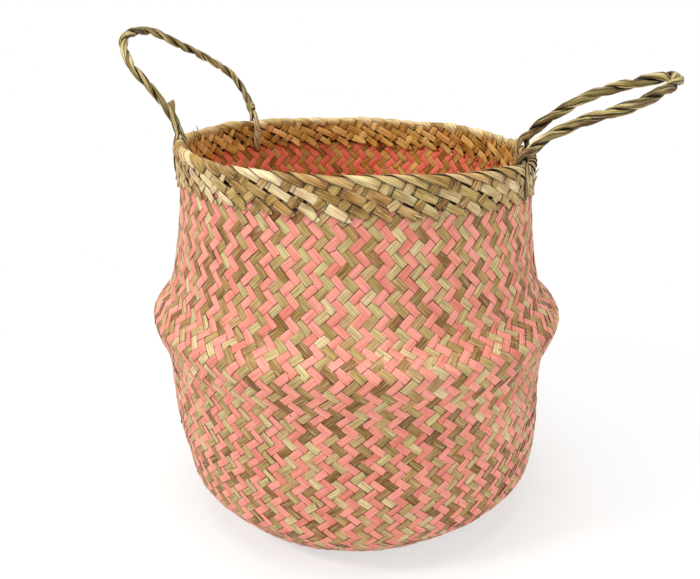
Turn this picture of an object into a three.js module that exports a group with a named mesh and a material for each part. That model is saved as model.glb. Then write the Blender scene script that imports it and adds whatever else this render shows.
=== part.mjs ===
// A belly basket woven from seagrass strips, with two twisted rope handles.
// Millimetres, +Z up. The origin is the centre of the face that the basket stands on,
// and +X points to its right side as seen from the front.
import * as THREE from "three";

// Outline of the woven wall: the outer radius at each height, from the floor to the rim.
const baseRadius = 115;
const heelRadius = 134;
const heelHeight = 15;
const cheekRadius = 151;
const cheekHeight = 40;
const wallRadius = 156;
const wallHeight = 85;
const waistRadius = 157;
const waistHeight = 131;
const creaseRadius = 167;
const creaseHeight = 169;
const shoulderRadius = 151;
const shoulderHeight = 192;
const neckRadius = 142.5;
const neckHeight = 236;
const rimRadius = 137.5;
const rimHeight = 300;

// The wall folds at its crease, and the part between the crease and this height turns inwards.
const foldTopHeight = 206;

// The neck of a hand-pulled basket leans a little: its rise per millimetre along X and Y.
const leanAlongX = -0.023;
const leanAlongY = 0.045;

// The right handle's pull draws the rim down round it: by how much, where, and how widely.
const sagDepth = 5;
const sagAngle = -10;
const sagSpread = 34;

// Weave and bands.
const wallThickness = 3;
const zigzagCount = 56;
const bandThickness = 1.8;
const bandHeight = 22;
const bandToothDepth = 6;
const borderHeight = 7;
const borderCrown = 1.6;

// Rope handles, each of two plies laid together.
const plyDiameter = 3.9;
const plyGap = 0.3;
const footOverrun = 1.2;

// Each ply goes on down one side of the rim as a flat leg, to just past the band's notches.
const legWidth = 6;
const legThickness = 2.8;
const legOverrun = 3;

// Both round off: a ply's end by its radius, and a leg's end by shares of its size.
const roundCap = [
  { past: 0, size: 1 },
  { past: 0.7, size: 0.72 },
  { past: 1, size: 0.3 },
];
const legTopSize = 0.4;
const legNeckSize = 0.85;
const legTaperSize = 0.9;
const legEndSize = 0.5;

// Past this share of its reach, a handle's loop has taken its whole twist.
const twistDone = 0.35;

// A wrapped knot closes the left handle's rear foot.
const knotStart = 8;
const knotLength = 8;
const knotThickness = 1.2;

// Clearance between pieces that rest on each other.
const seat = 0.3;

// How finely the round forms are divided.
const wallSegments = zigzagCount;
const rowsPerWall = 13;
const rowsPerFold = 4;
const rowsPerNeck = 4;
const plySides = 6;
const stepsPerTurn = 8;
const legSides = 8;
const knotSegments = 12;

// Where each handle stands: the angle of its feet round the rim, how far its loop
// rises from the level, how far it twists about its own middle line, how far it arches
// out of its plane, its reach from the feet, its width, and its outline from the front
// foot to the rear one, as shares of that width and reach. The lay pitch is the length
// in which a ply goes once round the other.
const leftHandle = {
  name: "left",
  layPitch: 32,
  frontFoot: 188,
  rearFoot: 134,
  rise: 54.3,
  twist: -1.4,
  arch: 1.7,
  reach: 92.5,
  width: 141.1,
  outline: [
    [-0.42, 0.17],
    [-0.45, 0.42],
    [-0.48, 0.66],
    [-0.37, 0.91],
    [-0.06, 0.99],
    [0.14, 0.85],
    [0.36, 0.67],
    [0.52, 0.47],
    [0.51, 0.21],
  ],
};
const rightHandle = {
  name: "right",
  layPitch: 42,
  frontFoot: -32,
  rearFoot: 6,
  rise: 25.4,
  twist: 8.8,
  arch: 8.6,
  reach: 115.5,
  width: 66.7,
  outline: [
    [-0.33, 0.18],
    [-0.38, 0.43],
    [-0.51, 0.67],
    [-0.31, 0.85],
    [0.03, 0.98],
    [0.28, 0.96],
    [0.33, 0.74],
    [0.43, 0.5],
    [0.48, 0.21],
  ],
};

// Seagrass colours.
const coral = new THREE.MeshStandardMaterial({ color: 0xf08a7a, roughness: 0.7, metalness: 0 });
const straw = new THREE.MeshStandardMaterial({ color: 0xc9a86c, roughness: 0.75, metalness: 0 });
const rope = new THREE.MeshStandardMaterial({ color: 0xa89a5e, roughness: 0.8, metalness: 0 });

const radians = THREE.MathUtils.degToRad;

// Stations of the outline, from the floor up.
const stations = [
  { height: 0, radius: baseRadius },
  { height: heelHeight, radius: heelRadius },
  { height: cheekHeight, radius: cheekRadius },
  { height: wallHeight, radius: wallRadius },
  { height: waistHeight, radius: waistRadius },
  { height: creaseHeight, radius: creaseRadius },
  { height: shoulderHeight, radius: shoulderRadius },
  { height: neckHeight, radius: neckRadius },
  { height: rimHeight, radius: rimRadius },
];

function slopeBetween(low, high) {
  return (high.radius - low.radius) / (high.height - low.height);
}

// Slope of the outline at a station. The crease is the widest point, so it is upright there.
function slopeAtStation(index) {
  const here = stations[index];
  if (index === 0) return slopeBetween(here, stations[1]);
  if (index === stations.length - 1) return slopeBetween(stations[index - 1], here);
  const below = slopeBetween(stations[index - 1], here);
  const above = slopeBetween(here, stations[index + 1]);
  return below * above > 0 ? (2 * below * above) / (below + above) : 0;
}

// Outer radius of the woven wall at a height: a smooth curve through the stations.
function radiusAt(height) {
  let index = 0;
  while (index < stations.length - 2 && height > stations[index + 1].height) index += 1;
  const low = stations[index];
  const high = stations[index + 1];
  const span = high.height - low.height;
  const t = (height - low.height) / span;
  const rise = t * t * (3 - 2 * t);
  const startTangent = t * (1 - t) * (1 - t) * span * slopeAtStation(index);
  const endTangent = t * t * (t - 1) * span * slopeAtStation(index + 1);
  return low.radius + (high.radius - low.radius) * rise + startTangent + endTangent;
}

// The wall keeps its thickness square to itself, so its inner radius allows for the slope.
function innerRadiusAt(height) {
  const probe = 0.5;
  const top = Math.min(height + probe, rimHeight);
  const bottom = Math.max(height - probe, 0);
  const slope = (radiusAt(top) - radiusAt(bottom)) / (top - bottom);
  return radiusAt(height) - wallThickness * Math.hypot(1, slope);
}

// Middle of the wall's thickness at a height.
function middleAt(height) {
  return (radiusAt(height) + innerRadiusAt(height)) / 2;
}

// A faceted ring dips inside its true circle by this much between its corners.
function facetDip(radius) {
  return radius * (1 - Math.cos(Math.PI / wallSegments));
}

// How much of the lean a height takes: none at the crease, all of it above the fold.
function leanShare(height) {
  return THREE.MathUtils.smoothstep(height, creaseHeight, foldTopHeight);
}

// How far the rim sags at a place round it, growing from the fold up to the rim.
function sagAt(x, y, z) {
  const halfTurn = Math.PI;
  const turned = Math.atan2(y, x) - radians(sagAngle) + halfTurn;
  const away = THREE.MathUtils.euclideanModulo(turned, 2 * halfTurn) - halfTurn;
  const bell = Math.exp(-((away / radians(sagSpread)) ** 2));
  const share = THREE.MathUtils.clamp((z - foldTopHeight) / (rimHeight - foldTopHeight), 0, 1);
  return sagDepth * bell * share;
}

function leanedHeight(x, y, z) {
  return z + leanShare(z) * (leanAlongX * x + leanAlongY * y) - sagAt(x, y, z);
}

function lean(geometry) {
  const places = geometry.getAttribute("position");
  for (let i = 0; i < places.count; i += 1) {
    places.setZ(i, leanedHeight(places.getX(i), places.getY(i), places.getZ(i)));
  }
  return geometry;
}

// Turns a closed outline of [radius, height] pairs about the Z axis.
function revolve(outline, segments) {
  const points = outline.map(([radius, height]) => new THREE.Vector2(radius, height));
  return new THREE.LatheGeometry(points, segments).rotateX(Math.PI / 2);
}

// A stretch of the woven wall between two heights, open at both ends.
function wallBetween(bottom, top, rows) {
  const outer = [];
  const inner = [];
  for (let row = 0; row <= rows; row += 1) {
    const height = THREE.MathUtils.lerp(bottom, top, row / rows);
    outer.push([radiusAt(height), height]);
    inner.unshift([innerRadiusAt(height), height]);
  }
  return lean(revolve([...outer, ...inner, outer[0]], wallSegments));
}

// The flat base mat, which the strips cross before they turn up into the wall.
function baseMat() {
  const play = seat + facetDip(baseRadius);
  const edge = innerRadiusAt(0) - play;
  const topEdge = innerRadiusAt(wallThickness) - play;
  return revolve([[0, 0], [edge, 0], [topEdge, wallThickness], [0, wallThickness]], wallSegments);
}

// Closed surface through rings of equally many corners, with a fan on each end.
function skin(rings) {
  const sides = rings[0].length;
  const corners = rings.flat();
  const faces = [];
  for (let ring = 0; ring < rings.length - 1; ring += 1) {
    for (let side = 0; side < sides; side += 1) {
      const a = ring * sides + side;
      const b = ring * sides + ((side + 1) % sides);
      faces.push(a, b, a + sides, b, b + sides, a + sides);
    }
  }
  const last = (rings.length - 1) * sides;
  const start = corners.push(middleOf(rings[0])) - 1;
  const end = corners.push(middleOf(rings[rings.length - 1])) - 1;
  for (let side = 0; side < sides; side += 1) {
    const next = (side + 1) % sides;
    faces.push(start, next, side, end, last + side, last + next);
  }
  return new THREE.BufferGeometry().setFromPoints(corners).setIndex(faces);
}

function middleOf(ring) {
  const sum = ring.reduce((total, corner) => total.add(corner), new THREE.Vector3());
  return sum.divideScalar(ring.length);
}

// Corners of an oval section about a centre, in the plane of two unit directions.
function ovalRing(centre, across, up, halfWidth, halfHeight, sides) {
  const ring = [];
  for (let side = 0; side < sides; side += 1) {
    const angle = (2 * Math.PI * side) / sides;
    ring.push(
      centre
        .clone()
        .addScaledVector(across, halfWidth * Math.cos(angle))
        .addScaledVector(up, halfHeight * Math.sin(angle)),
    );
  }
  return ring;
}

// A band of strip ends round the rim. Its lower edge is a row of teeth, one to a zig-zag.
function toothedBand(outside) {
  const columns = 2 * zigzagCount;
  const top = rimHeight - borderHeight - seat;
  const notch = rimHeight - bandHeight;
  const corners = [];
  const faces = [];
  for (let column = 0; column < columns; column += 1) {
    const angle = (2 * Math.PI * column) / columns;
    const bottom = column % 2 === 0 ? notch : notch - bandToothDepth;
    for (const height of [bottom, top]) {
      for (const far of [0, 1]) {
        const away = seat + far * bandThickness;
        const inside = innerRadiusAt(height);
        const radius = outside ? radiusAt(height) + away : inside - facetDip(inside) - away;
        corners.push(new THREE.Vector3(radius * Math.cos(angle), radius * Math.sin(angle), height));
      }
    }
  }
  const [near, far, nearTop, farTop] = [0, 1, 2, 3];
  const loop = outside ? [near, far, farTop, nearTop] : [far, near, nearTop, farTop];
  for (let column = 0; column < columns; column += 1) {
    const here = 4 * column;
    const next = 4 * ((column + 1) % columns);
    for (let k = 0; k < 4; k += 1) {
      const p = loop[k];
      const q = loop[(k + 1) % 4];
      faces.push(here + p, next + p, here + q, next + p, next + q, here + q);
    }
  }
  return lean(new THREE.BufferGeometry().setFromPoints(corners).setIndex(faces));
}

// Half the width over the wall and both bands, which the border covers.
const borderHalfWidth = wallThickness / 2 + seat + bandThickness;
const rimMiddle = middleAt(rimHeight);

// The border of slanted leaves along the top of the wall and both bands.
function border() {
  const bottom = rimHeight - borderHeight;
  const shoulder = rimHeight - borderCrown;
  const crownHalf = borderHalfWidth / 2;
  return lean(
    revolve(
      [
        [middleAt(bottom) - borderHalfWidth, bottom],
        [middleAt(bottom) + borderHalfWidth, bottom],
        [middleAt(shoulder) + borderHalfWidth, shoulder],
        [rimMiddle + crownHalf, rimHeight],
        [rimMiddle - crownHalf, rimHeight],
        [middleAt(shoulder) - borderHalfWidth, shoulder],
        [middleAt(bottom) - borderHalfWidth, bottom],
      ],
      wallSegments,
    ),
  );
}

// Half the width of the two plies lying side by side.
const plyRadius = plyDiameter / 2;
const plyOffset = plyRadius + plyGap / 2;

// A foot turns about the middle of its rope, just clear of the border under it.
const footSweep = Math.hypot(plyOffset, footOverrun) + plyRadius;
const footHeight = rimHeight + seat + footSweep;

// Where a handle's foot turns, above the border at an angle round the rim.
function footPlace(degrees) {
  const x = rimMiddle * Math.cos(radians(degrees));
  const y = rimMiddle * Math.sin(radians(degrees));
  return new THREE.Vector3(x, y, leanedHeight(x, y, footHeight));
}

// The middle line of a handle's rope, from its front foot to its rear foot.
function ropeLine(handle) {
  const front = footPlace(handle.frontFoot);
  const rear = footPlace(handle.rearFoot);
  const along = rear.clone().sub(front).normalize();
  const middle = front.clone().add(rear).divideScalar(2);
  const outwards = new THREE.Vector3(middle.x, middle.y, 0);
  outwards.addScaledVector(along, -outwards.dot(along)).normalize();
  const upwards = new THREE.Vector3(0, 0, 1);
  upwards.addScaledVector(along, -upwards.dot(along)).normalize();
  upwards.addScaledVector(outwards, -upwards.dot(outwards)).normalize();
  const rise = radians(handle.rise);
  const reachWay = outwards.clone().multiplyScalar(Math.cos(rise));
  reachWay.addScaledVector(upwards, Math.sin(rise));
  const square = upwards.clone().multiplyScalar(Math.cos(rise));
  square.addScaledVector(outwards, -Math.sin(rise));
  const points = [front];
  for (const [across, out] of handle.outline) {
    const turn = radians(handle.twist) * THREE.MathUtils.smoothstep(out, 0, twistDone);
    const lift = handle.arch * 4 * out * (1 - out);
    points.push(
      middle
        .clone()
        .addScaledVector(reachWay, out * handle.reach)
        .addScaledVector(along, across * handle.width * Math.cos(turn))
        .addScaledVector(square, across * handle.width * Math.sin(turn) + lift),
    );
  }
  points.push(rear);
  return { curve: new THREE.CatmullRomCurve3(points, false, "centripetal"), square };
}

// Place and directions on a rope's middle line, a distance from its front foot.
// Past either foot the line runs on straight.
function alongRope(line, length, distance) {
  const share = THREE.MathUtils.clamp(distance / length, 0, 1);
  const centre = line.curve.getPointAt(share);
  const ahead = line.curve.getTangentAt(share);
  centre.addScaledVector(ahead, distance - share * length);
  const side = line.square.clone().addScaledVector(ahead, -line.square.dot(ahead)).normalize();
  const other = ahead.clone().cross(side);
  return { centre, ahead, side, other };
}

// One ply of a handle: a round strand that winds about the rope's middle line.
// It makes whole half turns, so both its ends lie square to the rim.
function ply(handle, half) {
  const line = ropeLine(handle);
  const length = line.curve.getLength();
  const turns = Math.round((2 * length) / handle.layPitch) / 2;
  const steps = Math.round(turns * stepsPerTurn);
  const cap = roundCap.map(({ past, size }) => ({ distance: footOverrun + past * plyRadius, size }));
  const stops = cap.map(({ distance, size }) => ({ distance: -distance, size })).reverse();
  for (let step = 1; step < steps; step += 1) {
    stops.push({ distance: (length * step) / steps, size: 1 });
  }
  for (const { distance, size } of cap) stops.push({ distance: length + distance, size });
  const rings = stops.map(({ distance, size }) => {
    const place = alongRope(line, length, distance);
    const wound = THREE.MathUtils.clamp(distance / length, 0, 1);
    const angle = 2 * Math.PI * turns * wound + half * Math.PI;
    const towards = place.side.clone().multiplyScalar(Math.cos(angle));
    towards.addScaledVector(place.other, Math.sin(angle));
    const centre = place.centre.clone().addScaledVector(towards, plyOffset);
    return ovalRing(centre, place.side, place.other, size * plyRadius, size * plyRadius, plySides);
  });
  return skin(rings);
}

// One leg of a foot: a flat strand that lies down one side of the rim, on its band.
function leg(degrees, outside) {
  const angle = radians(degrees);
  const outwards = new THREE.Vector3(Math.cos(angle), Math.sin(angle), 0);
  const across = new THREE.Vector3(-Math.sin(angle), Math.cos(angle), 0);
  const way = outside ? 1 : -1;
  const dip = outside ? 0 : facetDip(rimRadius);
  const onBand = borderHalfWidth + seat + dip + legThickness / 2;
  const notch = rimHeight - bandHeight;
  const stops = [
    { height: rimHeight, size: legTopSize },
    { height: rimHeight - borderCrown, size: legNeckSize },
    { height: rimHeight - borderHeight / 2, size: 1 },
    { height: rimHeight - bandHeight / 2, size: 1 },
    { height: notch, size: 1 },
    { height: notch - legOverrun / 2, size: legTaperSize },
    { height: notch - legOverrun, size: legEndSize },
  ];
  const rings = stops.map(({ height, size }) => {
    const radius = middleAt(height) + way * onBand;
    const centre = outwards.clone().multiplyScalar(radius).setZ(height);
    return ovalRing(centre, across, outwards, (size * legWidth) / 2, (size * legThickness) / 2, legSides);
  });
  return lean(skin(rings));
}

// The wrapped knot round both plies, above a rear foot.
function knot(handle) {
  const line = ropeLine(handle);
  const length = line.curve.getLength();
  const bore = plyOffset + plyRadius + seat;
  const outer = bore + knotThickness;
  const half = knotLength / 2;
  const round = knotThickness / 2;
  const geometry = new THREE.LatheGeometry(
    [
      [bore, -half],
      [outer - round, -half],
      [outer, round - half],
      [outer, half - round],
      [outer - round, half],
      [bore, half],
      [bore, -half],
    ].map(([radius, height]) => new THREE.Vector2(radius, height)),
    knotSegments,
  );
  const place = alongRope(line, length, length - knotStart - half);
  const turn = new THREE.Quaternion().setFromUnitVectors(new THREE.Vector3(0, 1, 0), place.ahead);
  return geometry.applyQuaternion(turn).translate(place.centre.x, place.centre.y, place.centre.z);
}

function piece(name, geometry, material) {
  const mesh = new THREE.Mesh(geometry, material);
  mesh.name = name;
  return mesh;
}

const basket = new THREE.Group();
basket.add(piece("base_mat", baseMat(), straw));
basket.add(piece("lower_wall", wallBetween(0, creaseHeight - seat / 2, rowsPerWall), coral));
basket.add(
  piece(
    "shoulder_fold",
    wallBetween(creaseHeight + seat / 2, foldTopHeight - seat / 2, rowsPerFold),
    coral,
  ),
);

const neck = new THREE.Group();
const wallTop = rimHeight - borderHeight - seat;
neck.add(piece("neck_wall", wallBetween(foldTopHeight + seat / 2, wallTop, rowsPerNeck), coral));
neck.add(piece("rim_outer_band", toothedBand(true), straw));
neck.add(piece("rim_inner_band", toothedBand(false), straw));
neck.add(piece("rim_border", border(), straw));
basket.add(neck);

for (const handle of [leftHandle, rightHandle]) {
  const loop = new THREE.Group();
  loop.add(piece(`${handle.name}_handle_ply_a`, ply(handle, 0), rope));
  loop.add(piece(`${handle.name}_handle_ply_b`, ply(handle, 1), rope));
  basket.add(loop);
  for (const [foot, degrees] of [["front", handle.frontFoot], ["rear", handle.rearFoot]]) {
    neck.add(piece(`${handle.name}_${foot}_foot_outer`, leg(degrees, true), rope));
    neck.add(piece(`${handle.name}_${foot}_foot_inner`, leg(degrees, false), rope));
  }
}
basket.add(piece("left_rear_knot", knot(leftHandle), rope));

export default basket;
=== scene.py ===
import math

import bpy
import numpy as np
from mathutils import Matrix, Vector


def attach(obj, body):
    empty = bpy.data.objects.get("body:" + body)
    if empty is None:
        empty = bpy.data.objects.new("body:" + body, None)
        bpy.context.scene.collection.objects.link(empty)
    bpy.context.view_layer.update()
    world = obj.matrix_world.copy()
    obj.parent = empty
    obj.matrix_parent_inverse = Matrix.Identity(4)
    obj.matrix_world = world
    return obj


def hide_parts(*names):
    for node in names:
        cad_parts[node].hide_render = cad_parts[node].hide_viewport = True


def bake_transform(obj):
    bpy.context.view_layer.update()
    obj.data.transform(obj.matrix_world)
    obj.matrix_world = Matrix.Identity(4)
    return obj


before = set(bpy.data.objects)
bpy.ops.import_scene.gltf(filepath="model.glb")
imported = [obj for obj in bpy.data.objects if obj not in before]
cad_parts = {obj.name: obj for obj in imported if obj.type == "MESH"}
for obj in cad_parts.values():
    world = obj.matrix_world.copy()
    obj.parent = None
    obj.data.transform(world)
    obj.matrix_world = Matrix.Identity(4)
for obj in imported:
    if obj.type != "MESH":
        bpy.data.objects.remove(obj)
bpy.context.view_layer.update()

# A belly basket woven from seagrass strips. Sizes are in millimetres, in the frame's
# axes, and each mesh is scaled to metres when it is made.
METRES = 0.001
rng = np.random.default_rng(56)

# Outline of the wall as (height, outer radius), from the floor up to the rim.
STATIONS = [
    (0, 115), (15, 134), (40, 151), (85, 156), (131, 157),
    (169, 167), (192, 151), (236, 142.5), (300, 137.5),
]
OUTLINE_STEP = 0.25
CREASE_HEIGHT = 169
FOLD_TOP_HEIGHT = 206
RIM_HEIGHT = 300

# The neck leans a little, and the rim sags round the right handle.
LEAN_X = -0.023
LEAN_Y = 0.045
SAG_DEPTH = 5
SAG_ANGLE = math.radians(-10)
SAG_SPREAD = math.radians(34)

# The foot of the wall is a little fuller to the right and slimmer to the left, which
# grows and fades between these heights.
FULLER = 4.2
FULLER_GROWS = (2, 25)
FULLER_FADES = (45, 100)

# The weave: strips each way, the side of one woven cell, and how a strip lies.
STRIPS = 112
CELL = 5.62
WEAVE_DEPTH = 0.9
WEAVE_TWIST = -0.06
TWIST_HEIGHTS = (95, 235)
WEAVE_GATHER = 0.03
ROW_TILT = 1.2
CREASE_SLACK = 0.1
SLACK_SPREAD = 32
STRIP_THICKNESS = 0.4
STRIP_STEP = 0.26
FLOAT_CROWN = 1.15
CROWN_PLACE = 0.55
NEAR_CROSSING = 0.62
TURN = 0.15
LANES = STRIPS // 4
BASE_EDGE = 115
ROW_TOP_HEIGHT = 284
TWILL = 4
PAINTED_WIDTH = 1.03
BARE_WIDTH = 1.04
GROUPS = 8
SHARP_EDGE = math.radians(34)

# How much the wall's strips differ, as standard deviations: a strip's place sideways,
# then the place, height, roll, width and tone of each of its floats.
STRIP_SLIDE = 0.12
FLOAT_SLIDE = 0.16
FLOAT_LIFT = 0.06
FLOAT_ROLL = math.radians(4)
FLOAT_WIDTH = 0.03
FLOAT_TONE = 0.12

# The band over the rim: its leaves, their spacing, and the rounded edge they go over.
BAND_LEAVES = 56
WALL_MIDDLE = 1.5
RIM_MIDDLE = 136
BAND_PITCH = 2 * math.pi * RIM_MIDDLE / BAND_LEAVES
BAND_HALF = 2.8
BAND_CORNER = 2.4
BAND_TAPER = 0.8
BAND_TOP = 299.3
BAND_STEP = 0.46
BORDER_LIFT = 0.48
BORDER_WAVE = 0.6
BACK_BUMP = 1.6
BACK_BUMP_ANGLE = math.radians(88)
BACK_BUMP_SPREAD = 0.05
BAND_SAMPLES = 110

# The band's leaves and crossing strips: their width, how many rows they reach down each
# side of the rim, and the share of a row that they're under the others for. On top of
# the rim a leaf is wider and rolled.
LEAF_WIDTH = 6.5
CROSS_WIDTH = 6.2
LEAF_REACH = 4.95
CROSS_REACH = 4.1
LEAF_HIDDEN = 0.7
CROSS_HIDDEN = 0.55
TOP_WIDENING = 1.5
LEAF_ARCH = 0.1
SHINGLE = 1.0

# The folded ends of the wall between the band's two sides.
CORE_HALF = 0.6
CORE_FOOT = 277
CORE_TOP = 297.6


def smoothstep(value, low, high):
    """Smooth rise from 0 at the low value to 1 at the high one."""
    t = np.clip((value - low) / (high - low), 0, 1)
    return t * t * (3 - 2 * t)


def outline_radius(height):
    """Outer radius of the wall at a height, on a smooth curve through the stations."""
    z, r = np.array(STATIONS, float).T
    chord = np.diff(r) / np.diff(z)
    slope = np.concatenate([chord[:1], np.zeros(len(z) - 2), chord[-1:]])
    product = chord[:-1] * chord[1:]
    total = chord[:-1] + chord[1:]
    same_way = product > 0
    slope[1:-1][same_way] = (2 * product / np.where(same_way, total, 1))[same_way]
    k = np.clip(np.searchsorted(z, height, side="right") - 1, 0, len(z) - 2)
    span = z[k + 1] - z[k]
    t = (height - z[k]) / span
    rise = t * t * (3 - 2 * t)
    bend = t * (1 - t) ** 2 * slope[k] + t * t * (t - 1) * slope[k + 1]
    return r[k] + (r[k + 1] - r[k]) * rise + span * bend


def lean(points):
    """Moves points in the neck as the lean and the sag of the rim do."""
    x, y, z = points.T
    share = smoothstep(z, CREASE_HEIGHT, FOLD_TOP_HEIGHT)
    away = (np.arctan2(y, x) - SAG_ANGLE + math.pi) % (2 * math.pi) - math.pi
    climb = np.clip((z - FOLD_TOP_HEIGHT) / (RIM_HEIGHT - FOLD_TOP_HEIGHT), 0, 1)
    sag = SAG_DEPTH * np.exp(-((away / SAG_SPREAD) ** 2)) * climb
    return np.stack([x, y, z + share * (LEAN_X * x + LEAN_Y * y) - sag], 1)


def slack(height):
    """How much wider apart than elsewhere the strips lie near the crease."""
    return 1 + CREASE_SLACK * np.exp(-(((height - CREASE_HEIGHT) / SLACK_SPREAD) ** 2))


def meridian():
    """Row number, radius and height along the weave's middle, from the base's centre."""
    height = np.arange(0, RIM_HEIGHT + 0.1, OUTLINE_STEP)
    radius = outline_radius(height)
    dr = np.gradient(radius)
    dz = np.gradient(height)
    length = np.hypot(dr, dz)
    radius_in = radius - WEAVE_DEPTH * dz / length
    height_in = height + WEAVE_DEPTH * dr / length
    above = height_in > WEAVE_DEPTH + 0.1
    flat = np.arange(0, radius_in[above][0] - OUTLINE_STEP, OUTLINE_STEP)
    r = np.concatenate([flat, radius_in[above]])
    z = np.concatenate([np.full(len(flat), WEAVE_DEPTH), height_in[above]])

    # The strips go round the outline's corners in a bend of so many steps.
    bend = 33
    kernel = np.hanning(bend + 2)[1:-1]
    kernel /= kernel.sum()
    half = bend // 2
    r[half:-half] = np.convolve(r, kernel, "valid")
    z[half:-half] = np.convolve(z, kernel, "valid")
    pitch = 2 * math.pi * r / STRIPS
    diagonal = np.sqrt(np.maximum(4 * (CELL * slack(z)) ** 2 - pitch**2, 1))
    rows_per_mm = np.where(r < BASE_EDGE, LANES / BASE_EDGE, 2 / diagonal)
    length = np.hypot(np.diff(r), np.diff(z))
    row = np.concatenate([[0], np.cumsum(length * (rows_per_mm[1:] + rows_per_mm[:-1]) / 2)])
    return row, r, z


ROWS, RADII, HEIGHTS = meridian()
TOP_ROW = np.interp(ROW_TOP_HEIGHT, HEIGHTS, ROWS)
RADIUS_STEPS = np.gradient(RADII, ROWS)
HEIGHT_STEPS = np.gradient(HEIGHTS, ROWS)

# Hand-made unevenness: waves of (count round the wall, rate along the rows, phase).
WAVES = [(2, 0.05, 0.3), (3, -0.09, 1.7), (5, 0.13, 4.1), (7, -0.21, 2.2), (11, 0.3, 5.2)]
LATTICE_SWAY = 0.16
WALL_SWELL = 0.55


def waves(row, angle, shift):
    """Unevenness at a row and an angle, mostly between -1 and 1."""
    total = 0
    for count, rate, phase in WAVES:
        total = total + np.sin(count * angle + rate * row + phase + shift * count)
    return total / math.sqrt(len(WAVES))


def surface(row, angle):
    """Place and outward normal of the weave's middle at a row and an angle round it."""
    steady = smoothstep(row, LANES * 0.5, LANES * 1.5)
    twist = WEAVE_TWIST * smoothstep(np.interp(row, ROWS, HEIGHTS), *TWIST_HEIGHTS)
    gather = WEAVE_GATHER * steady * np.cos(angle)
    tilt = ROW_TILT * steady * np.cos(angle)
    moved_row = row - tilt + LATTICE_SWAY * steady * waves(row, angle, 0.7)
    sway = LATTICE_SWAY * steady * waves(row, angle, 2.9) * math.pi / STRIPS
    moved_angle = angle + twist - gather + sway
    r = np.interp(moved_row, ROWS, RADII)
    z = np.interp(moved_row, ROWS, HEIGHTS)
    dr = np.interp(moved_row, ROWS, RADIUS_STEPS)
    dz = np.interp(moved_row, ROWS, HEIGHT_STEPS)
    length = np.hypot(dr, dz)
    cos, sin = np.cos(moved_angle), np.sin(moved_angle)
    fuller = smoothstep(z, *FULLER_GROWS) * (1 - smoothstep(z, *FULLER_FADES))
    r = r + FULLER * fuller * cos * np.abs(cos)
    normal = np.stack([dz / length * cos, dz / length * sin, -dr / length], 1)
    swell = WALL_SWELL * steady * waves(row, angle, 5.3)
    points = np.stack([r * cos, r * sin, z], 1) + normal * swell[:, None]
    return lean(points), normal


def spacing_beside(row, angle, ahead):
    """Distance from a wall strip to the next one beside it. One of the two ways to a
    neighbouring cell is the strip's own, which gives next to nothing."""
    turn = math.pi / STRIPS / 2
    found = []
    for way in (-1, 1):
        after, _ = surface(row + 0.5, angle + way * turn)
        before, _ = surface(row - 0.5, angle - way * turn)
        found.append(np.linalg.norm(np.cross(ahead, after - before), axis=1))
    return np.maximum(*found) * smoothstep(row, LANES, LANES * 1.2)


def lay(states, first):
    """Samples along a strip whose cells lie over (1) or under (-1) the others: their
    places in cells, the side at each from -1 under to 1 over, how clear of a crossing
    it is, and which run of like cells it lies in."""
    samples = []
    start = 0
    run = 0
    for n in range(1, len(states) + 1):
        if n < len(states) and states[n] == states[start]:
            continue
        spots = [start + TURN, start + 0.5, n - TURN]
        if n - start > 1:
            crowns = (start + CROWN_PLACE, start + 1, n - CROWN_PLACE)
            spots = [start + TURN, *crowns, n - TURN]
        for spot in spots:
            middle = min(spot - start, n - spot) > TURN + 0.1
            side = states[start] * (FLOAT_CROWN if middle else 1)
            samples.append((first + spot, side, 1 if middle else NEAR_CROSSING, run))
        if n < len(states):
            samples.append((first + n, 0, 0, run))
        start = n
        run += 1
    places, sides, clear, runs = np.array(samples).T
    return places, sides, clear, runs.astype(int)


def wall_strip(quarter, lane):
    """A strip's rows, angles, sides, clearness and runs, from rim to base to rim."""
    edge = lane + 0.5
    count = math.floor(TOP_ROW - edge)
    cells = np.arange(-count, count)
    rising = np.where(cells < 0, -cells - 1, cells)
    phase = (rising + lane) % TWILL
    over = np.where(cells < 0, phase < 2, phase >= 2)
    places, sides, clear, runs = lay(np.where(over, 1, -1), -count)
    first_half = places < 0
    near = np.where(first_half, np.abs(places), edge)
    far = np.where(first_half, edge, np.abs(places))
    row = near + far
    angle = math.pi / 4 * (far - near) / np.minimum(row, LANES)
    turn = np.where(first_half, quarter, quarter + 1) * math.pi / 2
    return row, angle + turn, sides, clear, runs


def unit(vectors):
    return vectors / np.linalg.norm(vectors, axis=-1, keepdims=True)


def flat_section(places):
    """Corners of a strip's section, as shares of its half width and of its thickness:
    its two edges, and places across its under and upper side."""
    under = [(place, -0.5) for place in places]
    upper = [(place, 0.5) for place in reversed(places)]
    return np.array([(-1, 0), *under, (1, 0), *upper])


# The second section is for strips that bend over the rim.
FLAT_SECTION = flat_section([-0.84, 0.84])
FLAT_SECTION_5 = flat_section([-0.86, -0.43, 0, 0.43, 0.86])

# Which corners of a wall strip face into the basket, where the material paints bounce light.
WALL_INNER = (FLAT_SECTION[:, 1] < 0) * 1.0

# On the sheet of faces, how much longer a row is than its strips are, how much of its
# height they fill, and the room under them.
ROW_SPARE = 1.06
ROW_FILLED = 0.92
ROW_MARGIN = 0.04


def flat_rings(centres, normals, half_widths, thickness):
    """Sections of a flat strip along the centres, square to the normals."""
    ahead = unit(np.gradient(centres, axis=0))
    side = unit(np.cross(normals, ahead))
    up = np.cross(ahead, side)
    x = FLAT_SECTION[:, 0][None, :, None] * half_widths[:, None, None]
    y = FLAT_SECTION[:, 1][None, :, None] * thickness
    return centres[:, None] + side[:, None] * x + up[:, None] * y


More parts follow.
